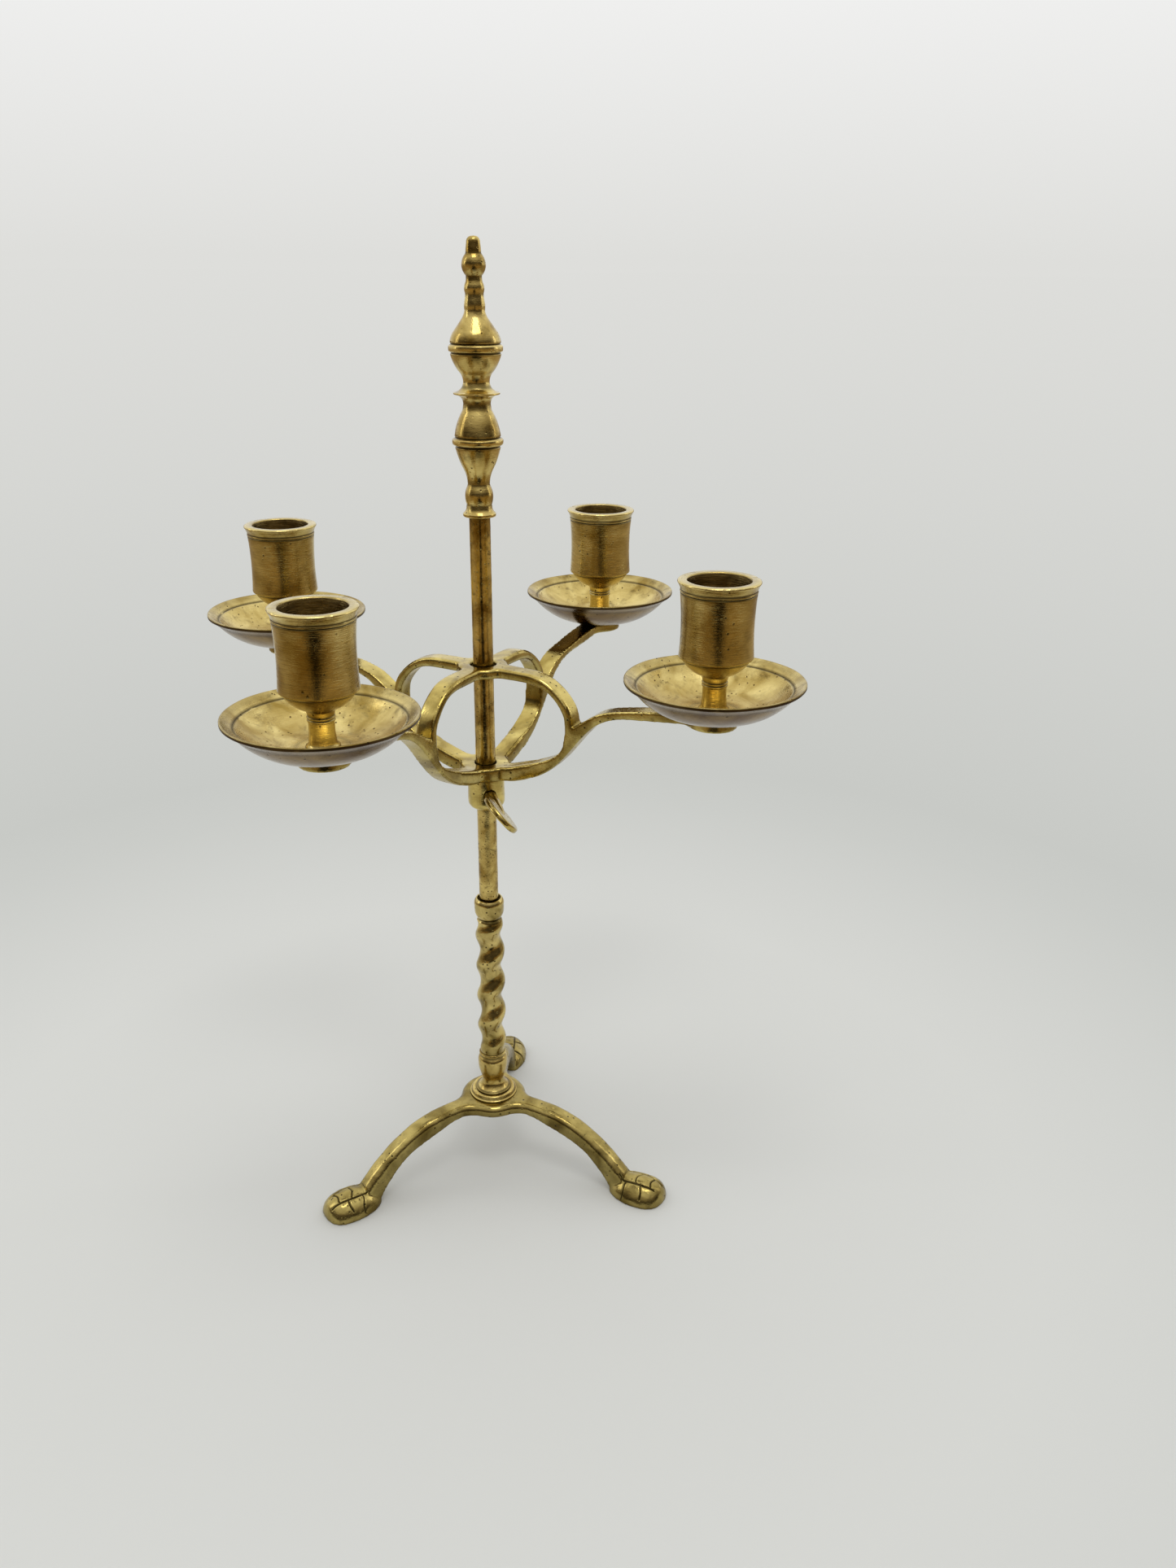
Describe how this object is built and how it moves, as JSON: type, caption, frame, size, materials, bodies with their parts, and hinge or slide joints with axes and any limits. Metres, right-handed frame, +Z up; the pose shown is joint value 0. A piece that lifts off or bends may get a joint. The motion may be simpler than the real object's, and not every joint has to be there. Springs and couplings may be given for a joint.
{
  "type": "tabletop candelabra",
  "caption": "Brass tabletop candelabra on a tripod with paw feet; its arms, with candle cups and drip pans, slide and swivel on the rod under a turned finial.",
  "frame": {"origin": "on the floor, on the axis of the stem, midway between the arms", "axes": "+Z up along the stem; +Y away from the side that has the thumb screw and two of the legs; +X to the right of that side"},
  "size_m": [0.23, 0.23, 0.3877],
  "materials": {
    "cast_brass": "aged cast brass, hand polished, pitted",
    "turned_brass": "aged turned brass with lathe lines",
    "drawn_brass": "aged drawn rod with pits and stains",
    "cup_brass": "aged turned brass, brushed round",
    "pan_brass": "aged spun brass, satin",
    "screw_brass": "aged cast brass, darkened",
    "steel_hardware": "dull zinc-plated steel"
  },
  "bodies": {
    "stand": {"tripod_base": "cast_brass", "base_washer": "steel_hardware", "base_nut": "steel_hardware", "base_knop": "turned_brass", "twist_stem": "cast_brass", "slide_rod": "drawn_brass", "finial": "turned_brass"},
    "collar": {"clamp_collar": "cast_brass"},
    "thumb_screw": {"thumb_screw": "screw_brass"},
    "bracket": {"arm_spider": "cast_brass", "upper_cross": "cast_brass", "drip_pan_1": "pan_brass", "drip_pan_2": "pan_brass", "drip_pan_3": "pan_brass", "drip_pan_4": "pan_brass", "candle_cup_1": "cup_brass", "candle_cup_2": "cup_brass", "candle_cup_3": "cup_brass", "candle_cup_4": "cup_brass", "cup_screw_1": "steel_hardware", "cup_screw_2": "steel_hardware", "cup_screw_3": "steel_hardware", "cup_screw_4": "steel_hardware"}
  },
  "joints": [
    {"name": "collar_slide", "type": "slide", "parent": "stand", "child": "collar", "axis": [0, 0, 1], "range_m": [-0.04, 0.055]},
    {"name": "arm_swivel", "type": "hinge", "parent": "collar", "child": "bracket", "pos_m": [0, 0, 0.186], "axis": [0, 0, 1], "continuous": true},
    {"name": "thumb_screw_turn", "type": "hinge", "parent": "collar", "child": "thumb_screw", "pos_m": [0.00156, -0.00734, 0.179], "axis": [0.2079, -0.9781, 0], "range_deg": [0, 720]}
  ]
}
